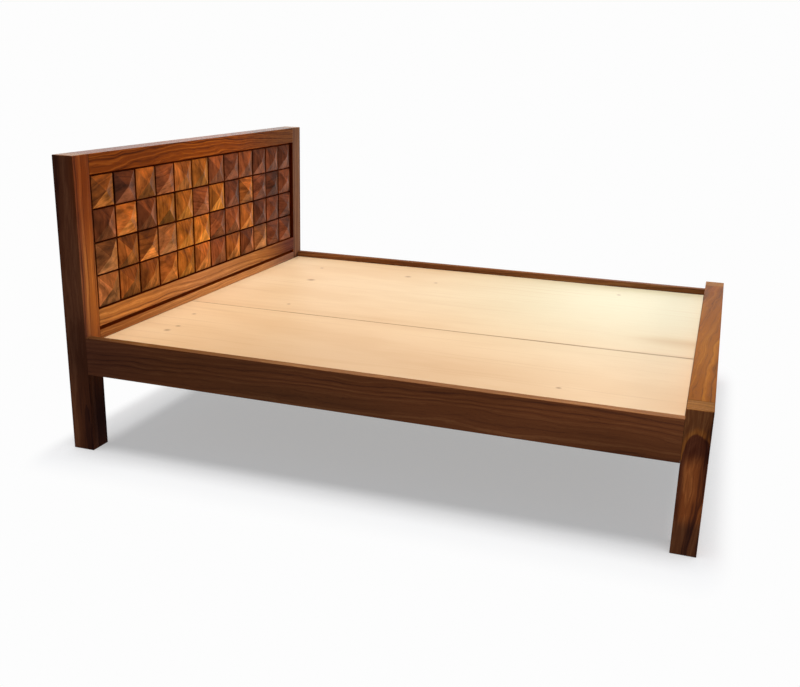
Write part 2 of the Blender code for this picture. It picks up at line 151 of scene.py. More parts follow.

# Paler and darker patches in a timber or a board: places, reach along each axis, in metres, and tones;
# those marked below are painted light or shade
PATCHES = {
    "head_post_left": (
        # Painted light and shade: the post's front paler low down and darker at the top
        ((-0.805, 0.985, 0.57), (0.085, 0.06, 0.38), (2.45, 2.40, 1.00)),
        ((-0.830, 0.985, 0.98), (0.100, 0.05, 0.40), (1.05, 0.72, 0.30)),
        # Painted shade: the leg's front under the side rail darkened
        ((-0.820, 0.985, 0.10), (0.080, 0.03, 0.25), (0.25, 0.30, 0.60)),
        ((-0.880, 1.040, 0.37), (0.030, 0.09, 0.20), (0.72, 0.74, 0.80)),
        ((-0.880, 1.060, 0.08), (0.030, 0.09, 0.32), (1.35, 1.38, 1.30)),
    ),
    "head_top_rail": (
        # Painted shade: darker toward the right post
        ((0.800, 0.99, 1.0), (0.65, 0.2, 0.2), (0.64, 0.92, 1.90)),
        ((-0.050, 0.99, 1.0), (0.45, 0.2, 0.2), (1.14, 1.14, 0.75)),
    ),
    "head_panel_rail": (
        # Painted shade: darker toward the right post
        ((0.800, 0.99, 0.47), (0.45, 0.2, 0.2), (0.24, 0.18, 0.45)),
        ((0.000, 0.99, 0.47), (0.60, 0.2, 0.2), (1.02, 1.12, 1.60)),
    ),
    "head_cross_rail": (
        ((-0.750, 0.99, 0.41), (0.65, 0.2, 0.2), (0.68, 0.56, 0.45)),
        # Painted shade: darker toward the right post
        ((0.800, 0.99, 0.41), (0.45, 0.2, 0.2), (0.48, 0.52, 1.00)),
    ),
    "side_rail_left": (
        # Painted shade: darker toward the head end, on the top face and the outer face
        ((-0.859, 1.000, 0.42), (0.040, 0.90, 0.014), (0.55, 0.48, 0.35)),
        ((-0.880, 1.000, 0.35), (0.040, 0.40, 0.20), (0.66, 0.66, 0.85)),
        # Painted light: paler toward the foot end
        ((-0.880, -0.500, 0.39), (0.040, 0.90, 0.06), (1.16, 1.12, 1.05)),
        ((-0.880, 0.200, 0.31), (0.040, 0.55, 0.06), (0.74, 0.80, 0.85)),
    ),
    "foot_rail": (
        ((-0.220, -1.035, 0.45), (0.45, 0.1, 0.1), (1.16, 1.22, 1.12)),
        ((0.800, -1.035, 0.45), (0.35, 0.1, 0.1), (0.88, 0.80, 0.85)),
    ),
    "deck_board_left": (
        # Painted shade: darker toward the near side
        ((-0.760, 0.080, 0.39), (0.600, 0.95, 0.10), (0.85, 0.80, 0.76)),
        ((-0.500, -0.650, 0.39), (0.500, 0.50, 0.10), (1.03, 1.07, 1.12)),
        ((-0.200, 0.080, 0.39), (0.070, 0.50, 0.10), (0.92, 0.88, 0.84)),
        # Painted light: paler along the head end, where the headboard shades the deck
        ((-0.400, 1.000, 0.39), (0.900, 0.35, 0.10), (1.04, 1.08, 1.10)),
    ),
    "deck_board_right": (
        ((0.300, 0.500, 0.39), (0.700, 0.80, 0.10), (1.02, 1.07, 1.13)),
        ((0.000, -0.950, 0.39), (0.100, 0.24, 0.10), (0.88, 0.80, 0.70)),
        ((-0.160, 0.150, 0.39), (0.070, 0.45, 0.10), (0.93, 0.90, 0.86)),
        # Painted light: paler along the head end, where the headboard shades the deck
        ((0.300, 1.000, 0.39), (1.000, 0.35, 0.10), (1.04, 1.09, 1.14)),
    ),
}

# Painted light and shade: the tone of a rail's top face against its sides
TOP_FACE_PAINTED_LIGHT = {"side_rail_left": (0.90, 1.20, 1.25), "side_rail_right": (0.85, 0.70, 0.50)}

# Screws of the slats and ledgers, in metres
SCREW_SIDES = 16
SCREW_HEAD_RADIUS = 0.0045
SCREW_SHANK_RADIUS = 0.002
SCREW_HEAD_DEPTH = 0.003
SCREW_SOCKET_RIM = 0.0022
SCREW_SOCKET_DEPTH = 0.0014
SCREW_STANDING = 0.0001
SIDE_LEDGER_SCREWS = 6
END_LEDGER_SCREWS = 4

# Finishes, linear colours; first sheesham
SHEESHAM_LIGHT = (0.43, 0.138, 0.028, 1.0)
SHEESHAM_MIDDLE = (0.255, 0.068, 0.0135, 1.0)
SHEESHAM_DARK = (0.085, 0.023, 0.008, 1.0)
BLOCK_TONES = {
    "amber": (0.45, 0.137, 0.016),
    "orange brown": (0.38, 0.108, 0.018),
    "tan": (0.37, 0.125, 0.034),
    "red brown": (0.25, 0.066, 0.018),
    "purple brown": (0.152, 0.041, 0.014),
}

# How often each block tone is drawn: in most blocks, in the columns at the right, darker partly in the wood
# and partly as painted shade, and in the top row, darker as painted shade under the top rail
BLOCK_TONE_WEIGHTS = (16, 34, 16, 20, 14)
DARK_BLOCK_TONE_WEIGHTS = (0, 3, 3, 30, 64)
TOP_ROW_SHADED_WEIGHTS = (10, 20, 14, 32, 24)
DARK_BLOCK_COLUMNS = 3

# Painted sheen and shade tints of a block's left, right, lower and upper facets, paler on the right and
# lower facets and darker on the upper ones as light falls on them, then how the wood varies inside a block:
# the range of its mottling, its light and dark figure against its tone, and the depth range of the painted
# shade in its grooves
FACET_PAINTED_SHEEN = (Vector((1.03, 1.04, 1.17)), Vector((1.02, 1.16, 1.10)), Vector((0.96, 1.21, 1.55)),
               Vector((1.04, 0.92, 0.75)))
BLOCK_MOTTLE_DARK = 0.45
BLOCK_MOTTLE_LIGHT = 1.55
BLOCK_FIGURE_LIGHT = 1.4
BLOCK_FIGURE_DARK = 0.45
BLOCK_GROOVE_SHADE_START = 0.0005
BLOCK_GROOVE_SHADE_END = 0.003

# Plywood, and the thickness of one ply, in metres
PLY_LIGHT = (0.87, 0.605, 0.353, 1.0)
PLY_MIDDLE = (0.82, 0.546, 0.302, 1.0)
PLY_STREAK = (0.64, 0.385, 0.185, 1.0)
PLY_MARK = (0.36, 0.17, 0.075, 1.0)
PLY_CORE = (0.42, 0.24, 0.115, 1.0)
PLY_PAINTED_SHEEN = (0.82, 0.75, 0.52, 1.0)
PLY_SEAM_SHADE = (0.40, 0.22, 0.10, 1.0)
PLY_THICKNESS = 0.0024

# The deck's painted sheen, paler toward one corner, its place along X and Y and its reach, and the painted
# shade along the seam, which widens from the head to the foot, in metres
PAINTED_SHEEN_PLACE = (0.62, -0.80, 0.0)
PAINTED_SHEEN_REACH = 1.35
SEAM_SHADE_HEAD = 0.003
SEAM_SHADE_FOOT = 0.010

# Slats and steel
SLAT_LIGHT = (0.64, 0.45, 0.26, 1.0)
SLAT_MIDDLE = (0.53, 0.345, 0.18, 1.0)
SLAT_DARK = (0.36, 0.20, 0.085, 1.0)
ZINC_LIGHT = (0.66, 0.67, 0.68, 1.0)
ZINC_DARK = (0.46, 0.47, 0.49, 1.0)

# Shine of each finish, and roughness taken from the blocks and added to bare wood
LACQUER = {"IOR": 1.05}
BLOCK_LACQUER = {"IOR": 1.08}
BARE_WOOD = {"IOR": 1.10}
BARE_VENEER = {"IOR": 1.38}
STEEL = {"Metallic": 1.0}
BLOCK_POLISH = 0.12
BARE_WOOD_COARSENESS = 0.25

# Depth of each finish's fine relief, in metres, and the strength of them all
LACQUER_RELIEF = 0.0006
BLOCK_RELIEF = 0.0005
BARE_WOOD_RELIEF = 0.0008
VENEER_RELIEF = 0.0005
STEEL_RELIEF = 0.0002
RELIEF_STRENGTH = 0.35

# Small knots in the deck boards: place along X and Y, and radius, in metres
DECK_KNOTS = {
    "deck_board_left": (
        (-0.604, 0.842, 0.016), (-0.541, 0.835, 0.013), (-0.366, 0.872, 0.012), (-0.678, -0.61, 0.011)),
    "deck_board_right": (
        (0.374, 0.707, 0.024), (0.626, 0.325, 0.020), (0.63, 0.765, 0.012), (-0.071, 0.606, 0.011),
        (0.557, 0.168, 0.012), (0.678, -0.64, 0.013)),
}

# How a timber was cut: grain direction, then the log's heart line, given from the piece's middle in
# metres, its drift per metre and its bow per square metre across the grain, then the width of its
# growth bands, how strongly they show, how far they wander, seed and tone
Timber = namedtuple("Timber", "grain heart drift bow band figure wander seed tone")
TIMBERS = {
    "head_post_left": Timber(
        grain="Z", heart=(0.16, -0.03, 0.0), drift=(0.01, 0.01), bow=(0.0, 0.0),
        band=0.026, figure=0.8, wander=0.010, seed=1.3, tone=(0.80, 0.92, 2.1)),
    "head_post_right": Timber(
        grain="Z", heart=(-0.16, 0.05, 0.0), drift=(-0.02, 0.02), bow=(0.01, 0.0),
        band=0.014, figure=0.7, wander=0.010, seed=2.7, tone=(0.69, 1.10, 2.75)),
    "head_top_rail": Timber(
        grain="X", heart=(0.0, 0.05, -0.06), drift=(0.05, 0.06), bow=(0.03, 0.05),
        band=0.006, figure=0.9, wander=0.010, seed=3.1, tone=(0.85, 0.68, 0.45)),
    "head_panel_rail": Timber(
        grain="X", heart=(0.0, 0.1, 0.16), drift=(0.01, 0.02), bow=(0.0, 0.01),
        band=0.012, figure=0.6, wander=0.010, seed=4.9, tone=(1.7, 2.3, 2.7)),
    "head_cross_rail": Timber(
        grain="X", heart=(0.0, 0.08, -0.19), drift=(0.02, -0.01), bow=(0.0, 0.0),
        band=0.012, figure=0.6, wander=0.010, seed=5.2, tone=(2.0, 3.1, 5.0)),
    "head_block_panel": Timber(
        grain="X", heart=(0.0, 0.2, 0.1), drift=(0.02, 0.05), bow=(0.0, 0.02),
        band=0.014, figure=0.6, wander=0.010, seed=5.8, tone=(0.75, 0.75, 0.85)),
    "foot_post_left": Timber(
        grain="Z", heart=(-0.30, 0.06, 0.0), drift=(0.02, 0.02), bow=(0.0, 0.0),
        band=0.012, figure=0.9, wander=0.010, seed=6.4, tone=(1.17, 1.4, 2.4)),
    "foot_post_right": Timber(
        grain="Z", heart=(0.05, 0.03, 0.0), drift=(0.02, -0.02), bow=(0.0, 0.1),
        band=0.014, figure=0.8, wander=0.010, seed=7.8, tone=(1.0, 1.0, 1.0)),
    "foot_rail": Timber(
        grain="X", heart=(0.0, 0.16, -0.04), drift=(0.10, 0.02), bow=(0.05, 0.02),
        band=0.020, figure=0.55, wander=0.020, seed=8.5, tone=(1.1, 1.27, 0.68)),
    "foot_plank": Timber(
        grain="X", heart=(0.0, -0.08, 0.04), drift=(0.02, 0.01), bow=(0.0, 0.02),
        band=0.012, figure=0.7, wander=0.010, seed=9.6, tone=(0.95, 0.95, 0.95)),
    "side_rail_left": Timber(
        grain="Y", heart=(-0.1, 0.0, -0.14), drift=(0.015, 0.03), bow=(0.0, 0.01),
        band=0.016, figure=0.5, wander=0.016, seed=10.2, tone=(1.35, 1.62, 3.0)),
    "side_rail_right": Timber(
        grain="Y", heart=(0.07, 0.0, 0.14), drift=(-0.02, 0.02), bow=(0.0, -0.01),
        band=0.012, figure=0.6, wander=0.010, seed=11.9, tone=(0.9, 1.3, 2.3)),
}
GRAIN_TURNS = {
    "X": Euler((0.0, 0.0, 0.0)),
    "Y": Euler((0.0, 0.0, math.radians(-90))),
    "Z": Euler((0.0, math.radians(90), 0.0)),
}


def place(tree, kind, settings=None, values=None):
    """Adds one shader node, sets its options, and links or sets its sockets."""
    made = tree.nodes.new(f"ShaderNode{kind}")
    for option, choice in (settings or {}).items():
        setattr(made, option, choice)
    for socket, value in (values or {}).items():
        if isinstance(value, bpy.types.NodeSocket):
            tree.links.new(value, made.inputs[socket])
        else:
            made.inputs[socket].default_value = value
    return made


def reckon(tree, operation, *terms):
    """The result of a Math node."""
    return place(tree, "Math", {"operation": operation}, dict(enumerate(terms))).outputs[0]


def reckon_vector(tree, operation, *terms):
    """The vector that a Vector Math node gives."""
    return place(tree, "VectorMath", {"operation": operation}, dict(enumerate(terms))).outputs["Vector"]


def scale_vector(tree, vector, factor):
    """A vector times a number."""
    return place(tree, "VectorMath", {"operation": "SCALE"}, {0: vector, "Scale": factor}).outputs["Vector"]


def size_of(tree, vector):
    """The length of a vector."""
    return place(tree, "VectorMath", {"operation": "LENGTH"}, {0: vector}).outputs["Value"]


def apart(tree, first, second):
    """The distance between two points."""
    return size_of(tree, reckon_vector(tree, "SUBTRACT", first, second))


def parts_of(tree, vector):
    """The X, Y and Z of a vector."""
    return place(tree, "SeparateXYZ", None, {0: vector}).outputs


def short_of_one(tree, share):
    """1 less a share."""
    return reckon(tree, "SUBTRACT", 1.0, share)


def ease(tree, value, low, high):
    """0 below low, 1 above high, with a soft step between."""
    settings = {"interpolation_type": "SMOOTHSTEP"}
    return place(tree, "MapRange", settings, {"Value": value, "From Min": low, "From Max": high}).outputs[0]


def stretch(tree, value, low, high, first, second):
    """Takes the range from low to high to the range from first to second."""
    values = {"Value": value, "From Min": low, "From Max": high, "To Min": first, "To Max": second}
    return place(tree, "MapRange", None, values).outputs[0]


def mix_colours(tree, share, first, second):
    """The colour between first and second."""
    settings = {"data_type": "RGBA", "clamp_factor": True}
    return place(tree, "Mix", settings, {0: share, 6: first, 7: second}).outputs[2]


def blend(tree, share, first, second):
    """The number between first and second."""
    return place(tree, "Mix", {"data_type": "FLOAT"}, {0: share, 2: first, 3: second}).outputs[0]


def between(tree, share, first, second):
    """The vector between first and second."""
    return place(tree, "Mix", {"data_type": "VECTOR"}, {0: share, 4: first, 5: second}).outputs[1]


def cloud(tree, vector, detail=2.0, roughness=0.5):
    """A Noise Texture read at a vector that is already scaled."""
    values = {"Vector": vector, "Scale": 1.0, "Detail": detail, "Roughness": roughness}
    return place(tree, "TexNoise", {"noise_dimensions": "3D"}, values)


def new_group(name, inputs, outputs):
    """An empty shader node group with named sockets, and its input and output nodes."""
    group = bpy.data.node_groups.new(name, "ShaderNodeTree")
    for label, kind, default in inputs:
        socket = group.interface.new_socket(label, in_out="INPUT", socket_type=f"NodeSocket{kind}")
        socket.default_value = default
    for label, kind in outputs:
        group.interface.new_socket(label, in_out="OUTPUT", socket_type=f"NodeSocket{kind}")
    return group, group.nodes.new("NodeGroupInput"), group.nodes.new("NodeGroupOutput")


def use_group(tree, group, values):
    """Places a node group in a material and fills its sockets."""
    return place(tree, "Group", {"node_tree": group}, values)


def make_timber_group():
    """Solid wood: growth bands round a drifting heart line, fibres and pores; metres, X along the grain."""
    inputs = (
        ("Timber", "Vector", (0.0, 0.0, 0.0)),
        ("Drift", "Vector", (0.0, 0.0, 0.0)),
        ("Bow", "Vector", (0.0, 0.0, 0.0)),
        ("Band Width", "Float", 0.014),
        ("Wander", "Float", 0.010),
        ("Figure", "Float", 1.0),
        ("Seed", "Float", 0.0),
        ("Light", "Color", SHEESHAM_LIGHT),
        ("Middle", "Color", SHEESHAM_MIDDLE),
        ("Dark", "Color", SHEESHAM_DARK),
        ("Tone", "Vector", (1.0, 1.0, 1.0)),
    )
    outputs = (("Colour", "Color"), ("Height", "Float"), ("Roughness", "Float"))
    group, given, result = new_group("solid timber", inputs, outputs)
    put = given.outputs

    seed_shift = place(group, "CombineXYZ", None, {0: reckon(group, "MULTIPLY", put["Seed"], 7.31),
                                                   1: reckon(group, "MULTIPLY", put["Seed"], 3.17),
                                                   2: put["Seed"]}).outputs[0]

    def shifted(point, scales):
        """A point scaled along each axis, at this timber's own place in the noise."""
        return reckon_vector(group, "ADD", reckon_vector(group, "MULTIPLY", point, scales), seed_shift)

    along = parts_of(group, put["Timber"])["X"]
    along_squared = reckon(group, "MULTIPLY", along, along)
    drifted = reckon_vector(group, "ADD", put["Timber"], scale_vector(group, put["Drift"], along))
    bowed = reckon_vector(group, "ADD", drifted, scale_vector(group, put["Bow"], along_squared))

    slow = cloud(group, shifted(bowed, (2.2, 9.0, 9.0)), 3.0, 0.55).outputs["Color"]
    sway = reckon_vector(group, "SUBTRACT", slow, (0.5, 0.5, 0.5))
    sway_size = reckon(group, "MULTIPLY", put["Wander"], 4.0)
    swayed = reckon_vector(group, "ADD", bowed, scale_vector(group, sway, sway_size))
    from_heart = size_of(group, reckon_vector(group, "MULTIPLY", swayed, (0.0, 1.0, 1.0)))

    rings = reckon(group, "ADD", reckon(group, "DIVIDE", from_heart, put["Band Width"]),
                   reckon(group, "MULTIPLY", put["Seed"], 13.7))
    bands = place(group, "TexNoise", {"noise_dimensions": "1D"},
                  {"W": rings, "Scale": 1.0, "Detail": 3.0, "Roughness": 0.6}).outputs[0]
    growth = reckon(group, "FRACT", reckon(group, "ADD", rings, reckon(group, "MULTIPLY", bands, 1.5)))
    late_wood = ease(group, growth, 0.62, 0.98)

    fibres = cloud(group, shifted(swayed, (7.0, 190.0, 190.0)), 3.0, 0.6).outputs[0]
    pores = ease(group, cloud(group, shifted(swayed, (45.0, 900.0, 900.0)), 1.0, 0.5).outputs[0], 0.60, 0.72)

    light_share = reckon(group, "ADD", reckon(group, "MULTIPLY", ease(group, bands, 0.34, 0.66), 0.72),
                         reckon(group, "MULTIPLY", ease(group, fibres, 0.32, 0.68), 0.28))
    full = reckon(group, "SUBTRACT", light_share, reckon(group, "MULTIPLY", late_wood, 0.22))
    shaded = reckon(group, "MULTIPLY_ADD", reckon(group, "SUBTRACT", full, 0.45), put["Figure"], 0.48)
    lower = mix_colours(group, ease(group, shaded, 0.02, 0.46), put["Dark"], put["Middle"])
    whole = mix_colours(group, ease(group, shaded, 0.50, 0.98), lower, put["Light"])
    pored = mix_colours(group, reckon(group, "MULTIPLY", pores, 0.35), whole, put["Dark"])
    region = cloud(group, shifted(bowed, (1.6, 6.0, 6.0)), 1.0, 0.5).outputs[0]
    paler = stretch(group, region, 0.3, 0.7, 0.82, 1.18)
    toned = reckon_vector(group, "MULTIPLY", scale_vector(group, pored, paler), put["Tone"])

    height = reckon(group, "SUBTRACT", reckon(group, "ADD", reckon(group, "MULTIPLY", fibres, 0.5),
                                              reckon(group, "MULTIPLY", shaded, 0.3)), pores)
    roughness = reckon(group, "ADD", 0.34, reckon(group, "MULTIPLY", fibres, 0.16))
    group.links.new(toned, result.inputs["Colour"])
    group.links.new(height, result.inputs["Height"])
    group.links.new(roughness, result.inputs["Roughness"])
    return group


def new_material(name):
    """A material with only an output, and its tree."""
    material = bpy.data.materials.new(name)
    material.use_nodes = True
    material.node_tree.nodes.clear()
    return material, material.node_tree


def finish_surface(tree, colour, roughness, height, relief, settings):
    """The Principled shader of a finish, with a fine relief and its constant values."""
    bump = place(tree, "Bump", None, {"Height": height, "Strength": RELIEF_STRENGTH, "Distance": relief})
    values = {"Base Color": colour, "Roughness": roughness, "Normal": bump.outputs[0]}
    shader = place(tree, "BsdfPrincipled", None, values | settings)
    place(tree, "OutputMaterial", None, {"Surface": shader.outputs[0]})


def timber_coordinates(tree, node, grain, heart):
    """Object coordinates turned so that X runs along the grain, counted from the log's heart line."""
    low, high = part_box(node)
    turn = GRAIN_TURNS[grain]
    heart_place = (low + high) / 2 + Vector(heart)
    seen = place(tree, "TexCoord").outputs["Object"]
    shift = -(turn.to_matrix() @ heart_place)
    return place(tree, "Mapping", None, {"Vector": seen, "Location": shift, "Rotation": turn}).outputs[0]


def inside_box(tree, point, low, high, soft):
    """1 where a point is inside a box, falling to 0 over a soft distance inside its faces."""
    past_low = parts_of(tree, reckon_vector(tree, "SUBTRACT", point, low))
    past_high = parts_of(tree, reckon_vector(tree, "SUBTRACT", high, point))
    nearest = past_low[0]
    for depth in (past_low[1], past_low[2], *past_high[:3]):
        nearest = reckon(tree, "MINIMUM", nearest, depth)
    return ease(tree, nearest, 0.0, soft)


def recess_boxes():
    """The headboard's recesses, round the blocks and under the panel rail, into the back panel's middle."""
    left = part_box("head_post_left")
    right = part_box("head_post_right")
    panel_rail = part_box("head_panel_rail")
    cross_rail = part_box("head_cross_rail")
    front = left[0].y
    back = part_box("head_block_panel")[1].y - BACK_PANEL_THICKNESS / 2
    grow = RECESS_SOFTNESS
    round_blocks = (Vector((left[1].x - grow, front, panel_rail[1].z - grow)),
                    Vector((right[0].x + grow, back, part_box("head_top_rail")[0].z + grow)))
    under_rail = (Vector((left[1].x - grow, front, cross_rail[1].z - grow)),
                  Vector((right[0].x + grow, back, panel_rail[0].z + grow)))
    return round_blocks, under_rail


def patched(tree, seen, node, tone):
    """A tone with a piece's paler and darker patches in it, some of them painted light or shade."""
    for spot, reach, patch_tone in PATCHES.get(node, ()):
        steps = reckon_vector(tree, "DIVIDE", reckon_vector(tree, "SUBTRACT", seen, spot), reach)
        share = short_of_one(tree, ease(tree, size_of(tree, steps), 0.1, 1.0))
        tone = reckon_vector(tree, "MULTIPLY", tone, between(tree, share, (1.0, 1.0, 1.0), patch_tone))
    return tone


def flame(tree, seen, plain):
    """Tone of a flame figure: a streaky heart, a dark rim domed over it, a pale arch, then plain wood."""
    low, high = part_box(FLAME_NODE)
    away = reckon_vector(tree, "SUBTRACT", seen, (low + high) / 2 + FLAME_SPRING)
    uneven = cloud(tree, reckon_vector(tree, "MULTIPLY", away, (9.0, 40.0, 12.0)), 2.0, 0.5).outputs["Color"]
    wobble = reckon_vector(tree, "SUBTRACT", uneven, (0.5, 0.5, 0.5))
    shifted = reckon_vector(tree, "ADD", away, reckon_vector(tree, "MULTIPLY", wobble, (0.0, 0.014, 0.03)))
    arched = reckon_vector(tree, "MAXIMUM", shifted, (-1.0, -1.0, 0.0))
    shares = (0.0, 1 / FLAME_HALF_WIDTH, 1 / FLAME_HEIGHT)
    reach = size_of(tree, reckon_vector(tree, "MULTIPLY", arched, shares))
    rise = parts_of(tree, shifted)["Z"]
    domed = ease(tree, rise, FLAME_DOME_START, FLAME_DOME_END)
    rim = reckon(tree, "MAXIMUM", ease(tree, reach, 0.40, 0.95), domed)
    inner = between(tree, rim, FLAME_HEART, FLAME_RIM)
    ringed = between(tree, ease(tree, reach, 0.96, 1.04), inner, FLAME_ARCH)
    figured = between(tree, ease(tree, reach, 1.06, 1.26), ringed, plain)
    return between(tree, ease(tree, rise, -FLAME_FOOT_END, -FLAME_FOOT_START), FLAME_FOOT, figured)


def sheesham(node, timber_group):
    """Lacquered sheesham for one CAD timber, with painted shade in the headboard's recesses and painted
    light and shade on some rails' top faces.
    """
    cut = TIMBERS[node]
    material, tree = new_material(f"sheesham {node.replace('_', ' ')}")
    seen = place(tree, "TexCoord").outputs["Object"]
    facing = parts_of(tree, place(tree, "NewGeometry").outputs["Normal"])
    end_grain = ease(tree, reckon(tree, "ABSOLUTE", facing[cut.grain]), 0.7, 0.95)
    tone = patched(tree, seen, node, flame(tree, seen, cut.tone) if node == FLAME_NODE else cut.tone)
    upward = ease(tree, facing["Z"], 0.6, 0.9)
    # Painted light and shade on the faces that look up
    if node in TOP_FACE_PAINTED_LIGHT:
        painted_top_light = between(tree, upward, (1.0, 1.0, 1.0), TOP_FACE_PAINTED_LIGHT[node])
        tone = reckon_vector(tree, "MULTIPLY", tone, painted_top_light)
    tone = between(tree, end_grain, tone, END_GRAIN_TONE)
    rubbed, painted_shade = 0.0, 0.0
    if node.startswith("head"):
        # Painted shade: the recesses round the blocks and the gap under the panel rail are darkened
        round_blocks, under_rail = [inside_box(tree, seen, *box, RECESS_SOFTNESS) for box in recess_boxes()]
        painted_shade = reckon(tree, "MAXIMUM", round_blocks, under_rail)
        tone = between(tree, round_blocks, tone, RECESS_PAINTED_SHADE)
        tone = between(tree, under_rail, tone, RAIL_GAP_PAINTED_SHADE)
        rubbed = reckon(tree, "SUBTRACT", upward, painted_shade)
    values = {
        "Timber": timber_coordinates(tree, node, cut.grain, cut.heart),
        "Drift": (0.0, *cut.drift),
        "Bow": (0.0, *cut.bow),
        "Band Width": cut.band,
        "Wander": cut.wander,
        "Figure": blend(tree, end_grain, cut.figure, END_GRAIN_FIGURE),
        "Seed": cut.seed,
        "Tone": tone,
    }
    wood = use_group(tree, timber_group, values).outputs
    smoothed = blend(tree, rubbed, wood["Roughness"], TOP_EDGE_ROUGHNESS)
    roughness = blend(tree, painted_shade, smoothed, RECESS_ROUGHNESS)
    finish_surface(tree, wood["Colour"], roughness, wood["Height"], LACQUER_RELIEF, LACQUER)
    return material


def block_wood(timber_group):
    """Sheesham for the blocks, with the cut and the tones of block and facet that their attributes hold; the
    facet tones carry painted sheen, and the grooves painted shade.
    """
    material, tree = new_material("sheesham blocks")
    timber = place(tree, "Attribute", {"attribute_name": "timber"}).outputs["Vector"]
    tone = place(tree, "Attribute", {"attribute_name": "tone"}).outputs["Color"]
    patches = cloud(tree, reckon_vector(tree, "MULTIPLY", timber, (14.0, 32.0, 32.0)), 3.0, 0.55).outputs[0]
    # The facet tone carries painted sheen by the way each facet faces
    facet = place(tree, "Attribute", {"attribute_name": "facet"}).outputs["Vector"]
    mottle = stretch(tree, patches, 0.3, 0.7, BLOCK_MOTTLE_DARK, BLOCK_MOTTLE_LIGHT)
    tone = reckon_vector(tree, "MULTIPLY", tone, scale_vector(tree, facet, mottle))
    light = scale_vector(tree, tone, BLOCK_FIGURE_LIGHT)
    dark = scale_vector(tree, tone, BLOCK_FIGURE_DARK)
    seen = place(tree, "TexCoord").outputs["Object"]
    depth = parts_of(tree, seen)["Y"]
    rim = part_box("head_post_left")[0].y + BLOCK_RECESS
    # Painted shade deep in the grooves between the blocks
    painted_shade = ease(tree, depth, rim + BLOCK_GROOVE_SHADE_START, rim + BLOCK_GROOVE_SHADE_END)
    values = {
        "Timber": timber,
        "Band Width": 0.011,
        "Wander": 0.009,
        "Figure": 0.58,
        "Seed": 2.0,
        "Light": light,
        "Middle": tone,
        "Dark": dark,
        "Tone": between(tree, painted_shade, (1.0, 1.0, 1.0), RECESS_PAINTED_SHADE),
    }
    wood = use_group(tree, timber_group, values).outputs
    roughness = reckon(tree, "SUBTRACT", wood["Roughness"], BLOCK_POLISH)
    finish_surface(tree, wood["Colour"], roughness, wood["Height"], BLOCK_RELIEF, BLOCK_LACQUER)
    return material


def softwood(node, grain, seed, timber_group):
    """Planed, unfinished softwood for a hidden bearer."""
    material, tree = new_material(f"softwood {node.replace('_', ' ')}")
    draw = random.Random(node)
    heart = (draw.uniform(-0.05, 0.05), draw.uniform(-0.05, 0.05), draw.uniform(-0.09, -0.03))
    values = {
        "Timber": timber_coordinates(tree, node, grain, heart),
        "Drift": (0.0, draw.uniform(-0.02, 0.02), draw.uniform(-0.02, 0.02)),
        "Band Width": 0.007,
        "Wander": 0.004,
        "Seed": seed,
        "Light": SLAT_LIGHT,
        "Middle": SLAT_MIDDLE,
        "Dark": SLAT_DARK,
    }
    wood = use_group(tree, timber_group, values).outputs
    rough = reckon(tree, "ADD", wood["Roughness"], BARE_WOOD_COARSENESS)
    finish_surface(tree, wood["Colour"], rough, wood["Height"], BARE_WOOD_RELIEF, BARE_WOOD)
    return material


